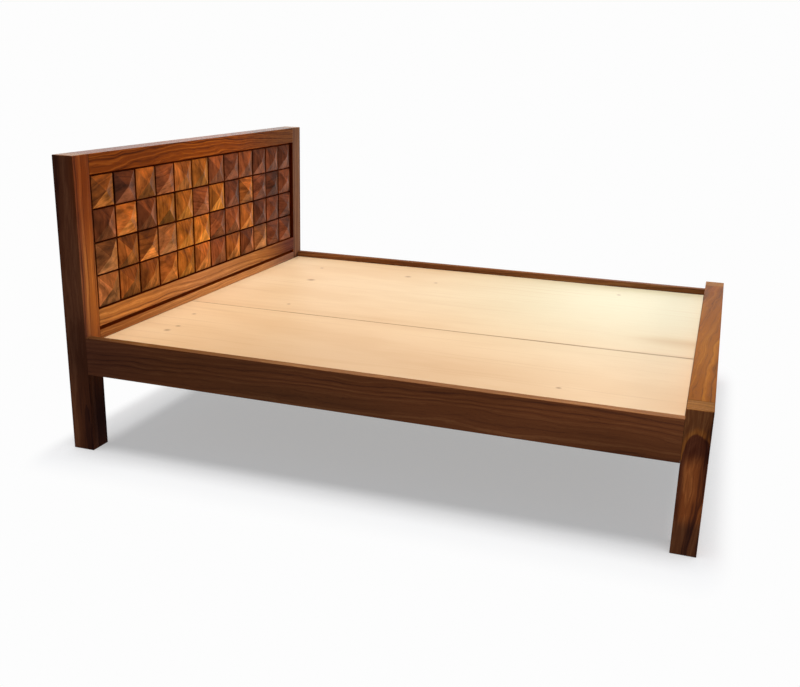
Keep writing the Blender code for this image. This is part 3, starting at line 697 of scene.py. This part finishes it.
def plywood(node, seed):
    """Bare veneer with faint lengthwise figure and a few knots, a painted sheen toward one corner, painted
    shade along the seam, and the plies in its edges.
    """
    material, tree = new_material(f"plywood {node.replace('_', ' ')}")
    seen = place(tree, "TexCoord").outputs["Object"]
    flat = reckon_vector(tree, "MULTIPLY", seen, (1.0, 1.0, 0.0))
    shifted = reckon_vector(tree, "ADD", flat, (seed * 1.7, seed * 5.3, 0.0))
    sway = cloud(tree, reckon_vector(tree, "MULTIPLY", shifted, (3.0, 0.8, 0.0)), 2.0, 0.5).outputs["Color"]
    swayed = reckon_vector(tree, "ADD", shifted, scale_vector(tree, sway, 0.10))
    figure = cloud(tree, reckon_vector(tree, "MULTIPLY", swayed, (16.0, 0.7, 0.0)), 4.0, 0.6).outputs[0]
    lines = cloud(tree, reckon_vector(tree, "MULTIPLY", swayed, (60.0, 0.9, 0.0)), 2.0, 0.5).outputs[0]
    fibres = cloud(tree, reckon_vector(tree, "MULTIPLY", swayed, (240.0, 6.0, 0.0)), 2.0, 0.6).outputs[0]
    patches = cloud(tree, reckon_vector(tree, "MULTIPLY", shifted, (4.5, 1.6, 0.0)), 3.0, 0.55).outputs[0]
    plain_veneer = mix_colours(tree, ease(tree, patches, 0.36, 0.64), PLY_MIDDLE, PLY_LIGHT)
    # Painted sheen: the veneer is paler toward the deck's far foot corner
    to_corner = apart(tree, flat, PAINTED_SHEEN_PLACE)
    sheen_share = short_of_one(tree, ease(tree, to_corner, 0.1, PAINTED_SHEEN_REACH))
    veneer = patched(tree, seen, node, mix_colours(tree, sheen_share, plain_veneer, PLY_PAINTED_SHEEN))
    broad = reckon(tree, "MULTIPLY", ease(tree, figure, 0.55, 0.75), 0.36)
    narrow = reckon(tree, "MULTIPLY", ease(tree, lines, 0.60, 0.72), 0.28)
    thin = reckon(tree, "MULTIPLY", ease(tree, fibres, 0.50, 0.75), 0.16)
    streak = reckon(tree, "MAXIMUM", reckon(tree, "MAXIMUM", broad, narrow), thin)
    colour = mix_colours(tree, streak, veneer, PLY_STREAK)
    for x, y, radius in DECK_KNOTS[node]:
        away = apart(tree, flat, (x, y, 0.0))
        ragged = reckon(tree, "MULTIPLY_ADD", fibres, radius, away)
        knot = short_of_one(tree, ease(tree, ragged, radius * 0.6, radius * 1.6))
        colour = mix_colours(tree, reckon(tree, "MULTIPLY", knot, 0.75), colour, PLY_MARK)

    part = parts_of(tree, seen)
    # Painted shade along the seam between the boards, wider toward the foot
    seam = (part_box("deck_board_left")[1].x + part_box("deck_board_right")[0].x) / 2
    low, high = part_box(node)
    seam_shade_width = stretch(tree, part["Y"], low.y, high.y, SEAM_SHADE_FOOT, SEAM_SHADE_HEAD)
    from_seam = reckon(tree, "ABSOLUTE", reckon(tree, "SUBTRACT", part["X"], seam))
    across_seam_shade = reckon(tree, "DIVIDE", from_seam, seam_shade_width)
    seam_shade_share = short_of_one(tree, ease(tree, across_seam_shade, 0.5, 1.0))
    seam_shade_depth = stretch(tree, ease(tree, patches, 0.40, 0.60), 0.0, 1.0, 0.85, 0.45)
    colour = mix_colours(tree, reckon(tree, "MULTIPLY", seam_shade_share, seam_shade_depth), colour, PLY_SEAM_SHADE)
    plies = reckon(tree, "PINGPONG", reckon(tree, "MULTIPLY", part["Z"], 1 / PLY_THICKNESS), 1.0)
    facing = place(tree, "NewGeometry").outputs["Normal"]
    upright = reckon(tree, "ABSOLUTE", parts_of(tree, facing)["Z"])
    edge = short_of_one(tree, ease(tree, upright, 0.3, 0.7))
    ply_share = reckon(tree, "MULTIPLY", edge, ease(tree, plies, 0.45, 0.55))
    layered = mix_colours(tree, ply_share, colour, PLY_CORE)
    roughness = reckon(tree, "ADD", 0.42, reckon(tree, "MULTIPLY", fibres, 0.14))
    finish_surface(tree, layered, roughness, fibres, VENEER_RELIEF, BARE_VENEER)
    return material


def zinc():
    """Zinc-plated steel with a faint spangle and fine brushing."""
    material, tree = new_material("zinc plated steel")
    seen = place(tree, "TexCoord").outputs["Object"]
    spangle = place(tree, "TexVoronoi", None, {"Vector": seen, "Scale": 180.0}).outputs["Color"]
    shade = parts_of(tree, spangle)["X"]
    brushed = cloud(tree, reckon_vector(tree, "MULTIPLY", seen, (300.0, 300.0, 2500.0)), 2.0, 0.6).outputs[0]
    colour = mix_colours(tree, ease(tree, shade, 0.1, 0.9), ZINC_DARK, ZINC_LIGHT)
    roughness = reckon(tree, "ADD", 0.28, reckon(tree, "MULTIPLY", brushed, 0.22))
    finish_surface(tree, colour, roughness, brushed, STEEL_RELIEF, STEEL)
    return material


def dress(node, material):
    """Gives a CAD node its finish."""
    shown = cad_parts[node].data
    shown.materials.clear()
    shown.materials.append(material)


def new_piece(name, work, material, body="bed_frame"):
    """Makes a bmesh a piece of the scene that rides on a body."""
    mesh = bpy.data.meshes.new(name)
    work.to_mesh(mesh)
    work.free()
    mesh.materials.append(material)
    piece = bpy.data.objects.new(name, mesh)
    bpy.context.scene.collection.objects.link(piece)
    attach(piece, body)
    return piece


def block_layout():
    """Opening of the headboard and the size and pitch of its blocks, from the CAD frame."""
    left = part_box("head_post_left")[1].x
    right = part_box("head_post_right")[0].x
    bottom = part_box("head_panel_rail")[1].z
    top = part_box("head_top_rail")[0].z
    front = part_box("head_post_left")[0].y
    width = (right - left - 2 * BLOCK_SIDE_MARGIN - (BLOCK_COLUMNS - 1) * BLOCK_GROOVE_WIDTH) / BLOCK_COLUMNS
    margins = BLOCK_TOP_MARGIN + BLOCK_BOTTOM_MARGIN
    height = (top - bottom - margins - (BLOCK_ROWS - 1) * BLOCK_GROOVE_HEIGHT) / BLOCK_ROWS
    first = Vector((left + BLOCK_SIDE_MARGIN + width / 2, front + BLOCK_RECESS,
                    bottom + BLOCK_BOTTOM_MARGIN + height / 2))
    pitch = Vector((width + BLOCK_GROOVE_WIDTH, 0.0, height + BLOCK_GROOVE_HEIGHT))
    return first, pitch, width, height


def merge(work, part):
    """Adds one bmesh to another and frees it."""
    carrier = bpy.data.meshes.new("carrier")
    part.to_mesh(carrier)
    part.free()
    work.from_mesh(carrier)
    bpy.data.meshes.remove(carrier)


def add_block(work, width, height, peak, stand):
    """A square block whose front rises to a low pyramid, with ridges and rim eased as by sanding."""
    block = bmesh.new()
    bmesh.ops.create_cube(block, size=1.0, matrix=Matrix.Diagonal((width, BLOCK_WALL, height, 1.0)))
    front = min(block.faces, key=lambda face: face.calc_center_median().y)
    apex = bmesh.ops.poke(block, faces=[front], offset=peak)["verts"][0]
    bmesh.ops.bevel(block, geom=list(apex.link_edges), offset=BLOCK_RIDGE_EASE, segments=3, profile=0.5,
                    affect="EDGES", material=-1)
    outer = [edge for edge in block.edges
             if edge.calc_face_angle() > BLOCK_RIM_ANGLE and any(end.co.y < 0 for end in edge.verts)]
    bmesh.ops.bevel(block, geom=outer, offset=BLOCK_RIM_EASE, segments=2, profile=0.5,
                    affect="EDGES", material=-1)
    bmesh.ops.transform(block, matrix=stand, verts=block.verts)
    merge(work, block)


def block_cuts(draw):
    """How each block was turned and cut out of its plank, and its tone, darker on top as painted shade under
    the top rail, and darker at the right partly in the wood and partly as painted shade.
    """
    names = list(BLOCK_TONES)
    cuts = []
    for number in range(BLOCK_COLUMNS * BLOCK_ROWS):
        row, column = divmod(number, BLOCK_COLUMNS)
        # Painted shade: the top row draws darker tones
        weights = TOP_ROW_SHADED_WEIGHTS if row == BLOCK_ROWS - 1 else BLOCK_TONE_WEIGHTS
        if column >= BLOCK_COLUMNS - DARK_BLOCK_COLUMNS:
            weights = DARK_BLOCK_TONE_WEIGHTS
        lying = draw.random() < BLOCK_LYING_SHARE
        turn = Euler([draw.uniform(-most, most) for most in BLOCK_TURNS])
        upright = Euler((0.0, 0.0 if lying else math.pi / 2, 0.0)).to_matrix()
        heart_way = draw.uniform(0.0, math.tau)
        heart_distance = draw.uniform(BLOCK_HEART_NEAR, BLOCK_HEART_FAR)
        along = draw.uniform(-BLOCK_PLANK_REACH, BLOCK_PLANK_REACH)
        shift = Vector((along, heart_distance * math.cos(heart_way), heart_distance * math.sin(heart_way)))
        tone = Vector(BLOCK_TONES[draw.choices(names, weights)[0]])
        tone *= draw.uniform(1.0 - BLOCK_TONE_SPREAD, 1.0 + BLOCK_TONE_SPREAD)
        cuts.append((turn.to_matrix() @ upright, shift, tone))
    return cuts


def block_at(point, first, pitch):
    """The number of the block that a point is on, and the point counted from that block's middle."""
    column = round((point.x - first.x) / pitch.x)
    row = round((point.z - first.z) / pitch.z)
    return row * BLOCK_COLUMNS + column, point - first - Vector((pitch.x * column, 0.0, pitch.z * row))


def make_blocks(material):
    """The headboard's 48 faceted blocks, each cut from the wood in its own way."""
    draw = random.Random(BLOCK_SEED)
    first, pitch, width, height = block_layout()
    work = bmesh.new()
    for row in range(BLOCK_ROWS):
        for column in range(BLOCK_COLUMNS):
            set_back = BLOCK_WALL / 2 + draw.uniform(-BLOCK_SET_BACK_SPREAD, BLOCK_SET_BACK_SPREAD)
            leans = [draw.uniform(-BLOCK_LEAN_SPREAD, BLOCK_LEAN_SPREAD) for _ in range(3)]
            spot = first + Vector((pitch.x * column, set_back, pitch.z * row))
            stand = Matrix.Translation(spot) @ Euler(leans).to_matrix().to_4x4()
            peak = BLOCK_PEAK + draw.uniform(-BLOCK_PEAK_LOSS, BLOCK_PEAK_GAIN)
            add_block(work, width, height, peak, stand)
    blocks = new_piece("headboard_blocks", work, material)
    mesh = blocks.data
    cuts = block_cuts(draw)
    mesh.attributes.new("timber", "FLOAT_VECTOR", "POINT")
    mesh.attributes.new("tone", "FLOAT_COLOR", "POINT")
    timber = mesh.attributes["timber"].data
    tone = mesh.attributes["tone"].data
    for vertex in mesh.vertices:
        number, offset = block_at(vertex.co, first, pitch)
        turn, shift, colour = cuts[number]
        timber[vertex.index].vector = turn @ offset + shift
        tone[vertex.index].color = (*colour, 1.0)
    # Each facet's tone: a random shade times the painted sheen tint of the way it faces
    mesh.attributes.new("facet", "FLOAT_VECTOR", "FACE")
    facet = mesh.attributes["facet"].data
    shades = [[math.exp(draw.gauss(BLOCK_FACET_MEAN, BLOCK_FACET_SPREAD)) for _ in FACET_PAINTED_SHEEN]
              for _ in cuts]
    for face in mesh.polygons:
        number, offset = block_at(face.center, first, pitch)
        across, up = offset.x / pitch.x, offset.z / pitch.z
        side = int(across > 0) if abs(across) > abs(up) else 2 + int(up > 0)
        facet[face.index].vector = FACET_PAINTED_SHEEN[side] * shades[number][side]
        face.use_smooth = face.area < BLOCK_FACET_AREA
    return blocks


def make_back_panel(material):
    """The thin panel that carries the blocks, let into the frame's grooves."""
    low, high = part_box("head_block_panel")
    low = Vector((low.x, high.y - BACK_PANEL_THICKNESS, low.z))
    work = bmesh.new()
    size = Matrix.Diagonal((*(high - low), 1.0))
    bmesh.ops.create_cube(work, size=1.0, matrix=Matrix.Translation((low + high) / 2) @ size)
    bmesh.ops.bevel(work, geom=work.edges[:], offset=BACK_PANEL_EASE, segments=2, profile=0.5,
                    affect="EDGES", material=-1)
    return new_piece("headboard_back_panel", work, material)


def drive_screw(work, spot, inward):
    """A countersunk screw head with a socket, flush at a spot on a face, its shank pointing inward."""
    screw = bmesh.new()
    bmesh.ops.create_cone(screw, cap_ends=True, segments=SCREW_SIDES, radius1=SCREW_HEAD_RADIUS,
                          radius2=SCREW_SHANK_RADIUS, depth=SCREW_HEAD_DEPTH)
    outer = min(screw.faces, key=lambda face: face.calc_center_median().z)
    bmesh.ops.inset_individual(screw, faces=[outer], thickness=SCREW_SOCKET_RIM, depth=-SCREW_SOCKET_DEPTH)
    set_in = Matrix.Translation((0.0, 0.0, SCREW_HEAD_DEPTH / 2 - SCREW_STANDING))
    turn = Vector(inward).to_track_quat("Z", "Y").to_matrix().to_4x4()
    bmesh.ops.transform(screw, matrix=Matrix.Translation(spot) @ turn @ set_in, verts=screw.verts)
    merge(work, screw)


def make_screws(steel):
    """The screws that hold the slats on the ledgers, and the ledgers on the rails."""
    slat_screws = bmesh.new()
    ledger_screws = bmesh.new()
    slats = [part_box(node) for node in sorted(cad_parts) if node.startswith("slat")]
    for side, inward, face in (("left", -1.0, 1), ("right", 1.0, 0)):
        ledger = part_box(f"side_ledger_{side}")
        middle = (ledger[0] + ledger[1]) / 2
        for low, high in slats:
            drive_screw(slat_screws, Vector((middle.x, (low.y + high.y) / 2, high.z)), (0.0, 0.0, -1.0))
        for number in range(SIDE_LEDGER_SCREWS):
            y = ledger[0].y + (ledger[1].y - ledger[0].y) * (number + 0.5) / SIDE_LEDGER_SCREWS
            drive_screw(ledger_screws, Vector((ledger[face].x, y, middle.z)), (inward, 0.0, 0.0))
    for end, inward, face in (("foot", -1.0, 1), ("head", 1.0, 0)):
        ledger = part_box(f"end_ledger_{end}")
        middle = (ledger[0] + ledger[1]) / 2
        for number in range(END_LEDGER_SCREWS):
            x = ledger[0].x + (ledger[1].x - ledger[0].x) * (number + 0.5) / END_LEDGER_SCREWS
            drive_screw(ledger_screws, Vector((x, ledger[face].y, middle.z)), (0.0, inward, 0.0))
    new_piece("slat_screws", slat_screws, steel)
    new_piece("ledger_screws", ledger_screws, steel)


def make_camera():
    """The camera at the photograph's viewpoint."""
    lens = bpy.data.cameras.new("photo camera")
    lens.sensor_fit = "HORIZONTAL"
    lens.sensor_width = CAMERA_SENSOR_MM
    lens.lens = CAMERA_SENSOR_MM * CAMERA_FOCAL_PIXELS / IMAGE_WIDTH_PIXELS
    camera = bpy.data.objects.new("photo camera", lens)
    bpy.context.scene.collection.objects.link(camera)
    turn = (Matrix.Rotation(CAMERA_YAW, 4, "Z") @ Matrix.Rotation(math.pi / 2 - CAMERA_PITCH_DOWN, 4, "X")
            @ Matrix.Rotation(CAMERA_ROLL, 4, "Z"))
    camera.matrix_world = Matrix.Translation(CAMERA_PLACE) @ turn
    bpy.context.scene.camera = camera


def looked_at(tree):
    """1 for what the eye sees, also in a reflection or through a clear piece, and 0 for other light."""
    path = place(tree, "LightPath").outputs
    mirrored = reckon(tree, "MAXIMUM", path["Is Glossy Ray"], path["Is Transmission Ray"])
    return reckon(tree, "MAXIMUM", path["Is Camera Ray"], mirrored)


def make_floor():
    """A pale floor that keeps the bed's shadow and fades to the white of the backdrop away from it."""
    work = bmesh.new()
    bmesh.ops.create_grid(work, x_segments=1, y_segments=1, size=FLOOR_HALF_SIZE)
    mesh = bpy.data.meshes.new("studio_floor")
    work.to_mesh(mesh)
    work.free()
    material, tree = new_material("studio floor")
    high = cad_box[1]
    seen = place(tree, "TexCoord").outputs["Object"]
    outside = reckon_vector(tree, "SUBTRACT", reckon_vector(tree, "ABSOLUTE", seen), (high.x, high.y, 0.0))
    sharpened = reckon_vector(tree, "MULTIPLY", outside, (1.0, FLOOR_END_SHARPNESS, 0.0))
    beyond = reckon_vector(tree, "MAXIMUM", sharpened, (0.0, 0.0, 0.0))
    reach = size_of(tree, beyond)
    direct = looked_at(tree)
    fade = place(tree, "MapRange", {"interpolation_type": "SMOOTHSTEP"},
                 {"Value": reach, "From Min": FLOOR_FADE_START, "From Max": FLOOR_FADE_END,
                  "To Min": FLOOR_SHADE, "To Max": 1.0}).outputs[0]
    albedo = stretch(tree, direct, 0.0, 1.0, FLOOR_BOUNCE_ALBEDO, FLOOR_SEEN_ALBEDO)
    paint = place(tree, "BsdfDiffuse", None, {"Color": albedo})
    glow = place(tree, "Emission", None, {"Color": BACKDROP_WHITE, "Strength": 1.0})
    both = place(tree, "MixShader", None, {0: reckon(tree, "MULTIPLY", direct, fade), 1: paint.outputs[0],
                                           2: glow.outputs[0]})
    place(tree, "OutputMaterial", None, {"Surface": both.outputs[0]})
    mesh.materials.append(material)
    floor = bpy.data.objects.new("studio_floor", mesh)
    bpy.context.scene.collection.objects.link(floor)
    return floor


def make_world():
    """White to the eye and in reflections, and a weak cool fill for all else."""
    world = bpy.data.worlds.new("studio")
    world.use_nodes = True
    tree = world.node_tree
    tree.nodes.clear()
    direct = looked_at(tree)
    fill = place(tree, "Background", None, {"Color": AMBIENT_COLOUR, "Strength": AMBIENT_STRENGTH})
    white = place(tree, "Background", None, {"Color": BACKDROP_WHITE, "Strength": 1.0})
    both = place(tree, "MixShader", None, {0: direct, 1: fill.outputs[0], 2: white.outputs[0]})
    place(tree, "OutputWorld", None, {"Surface": both.outputs[0]})
    bpy.context.scene.world = world


def add_softbox(name, spot, aim, size, power, colour, mirrored=True, spread=math.pi):
    """A soft light of a width and a height that faces a point, with a beam's spread, mirrored or not."""
    lamp = bpy.data.lights.new(name, "AREA")
    lamp.shape = "RECTANGLE"
    lamp.size, lamp.size_y = size
    lamp.energy = power
    lamp.color = colour
    lamp.spread = spread
    box = bpy.data.objects.new(name, lamp)
    box.visible_camera = False
    box.visible_glossy = mirrored
    bpy.context.scene.collection.objects.link(box)
    toward = Vector(aim) - Vector(spot)
    box.matrix_world = Matrix.Translation(spot) @ toward.to_track_quat("-Z", "Y").to_matrix().to_4x4()
    return box


def add_floor_sun():
    """A broad sun from straight above, which puts the bed's shadow under its own outline."""
    lamp = bpy.data.lights.new("floor sun", "SUN")
    lamp.energy = FLOOR_SUN_POWER
    lamp.angle = FLOOR_SUN_ANGLE
    sun = bpy.data.objects.new("floor sun", lamp)
    bpy.context.scene.collection.objects.link(sun)
    return sun


def link_light(lamp, objects, state):
    """Makes a lamp light some objects alone, INCLUDE, or everything except them, EXCLUDE."""
    group = bpy.data.collections.new(f"{lamp.name} links")
    for linked in objects:
        group.objects.link(linked)
    for entry in group.collection_objects:
        entry.light_linking.link_state = state
    lamp.light_linking.receiver_collection = group


def make_studio(blocks, boards):
    """Floor, world, lamps and view settings; two lamps that would flatten the blocks spare them."""
    floor = make_floor()
    make_world()
    link_light(add_floor_sun(), [floor], "INCLUDE")
    for box in (
        add_softbox("high softbox", (0.1, 1.35, 8.4), (0.1, 0.0, 0.4), (4.5, 4.5), 610.0, WARM_LIGHT),
        add_softbox("foot window softbox", (3.3, -0.6, 1.05), (0.0, -0.6, 1.05), (1.2, 0.9), 7.5,
                    WHITE_LIGHT),
    ):
        link_light(box, [floor, blocks], "EXCLUDE")
    for box in (
        add_softbox("foot end softbox", (3.6, -7.0, 1.8), (0.0, 1.0, 0.75), (3.0, 2.0), 330.0, WARM_LIGHT),
        add_softbox("near side softbox", (-3.0, -2.5, 0.8), (-0.9, -1.0, 0.3), (1.0, 0.6), 4.5, WHITE_LIGHT,
                    mirrored=False),
        add_softbox("head window softbox", (3.3, 0.6, 0.45), (0.0, 0.6, 0.45), (1.6, 0.9), 60.0, WHITE_LIGHT,
                    mirrored=False),
        add_softbox("back softbox", (0.5, 4.5, 3.0), (0.0, 0.9, 0.6), (2.0, 2.0), 30.0, WARM_LIGHT),
    ):
        link_light(box, [floor], "EXCLUDE")
    gleam = add_softbox("block gleam softbox", (3.3, 0.75, 0.45), (0.0, 0.9, 0.7), (1.2, 1.0), 5.5,
                        WHITE_LIGHT)
    link_light(gleam, [blocks], "INCLUDE")
    fill = add_softbox("head fill softbox", (0.0, 0.935, 0.72), (0.0, 0.935, 0.39), (1.68, 0.05), 0.32,
                       WHITE_LIGHT, mirrored=False, spread=HEAD_FILL_SPREAD)
    link_light(fill, boards, "INCLUDE")
    bpy.context.scene.view_settings.view_transform = "Standard"


def dress_frame(timber_group, steel):
    """Finishes of the CAD nodes that stay in view."""
    for node in TIMBERS:
        if node != "head_block_panel":
            dress(node, sheesham(node, timber_group))
    bearers = {"slat": "X", "end": "X", "side": "Y", "centre": "Y", "beam": "X"}
    for number, node in enumerate(sorted(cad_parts)):
        if node in TIMBERS:
            continue
        if node.startswith("deck_board"):
            dress(node, plywood(node, 1.0 + number))
        elif "bracket" in node or "screw" in node:
            dress(node, steel)
        elif node == "centre_leg":
            dress(node, softwood(node, "Z", number, timber_group))
        else:
            dress(node, softwood(node, bearers[node.split("_")[0]], number, timber_group))


timber_group = make_timber_group()
steel = zinc()
dress_frame(timber_group, steel)
blocks = make_blocks(block_wood(timber_group))
back_panel = make_back_panel(sheesham("head_block_panel", timber_group))
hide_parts("head_block_panel")
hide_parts("head_block_panel")
make_screws(steel)
make_studio(blocks, [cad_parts[node] for node in DECK_KNOTS])
make_camera()
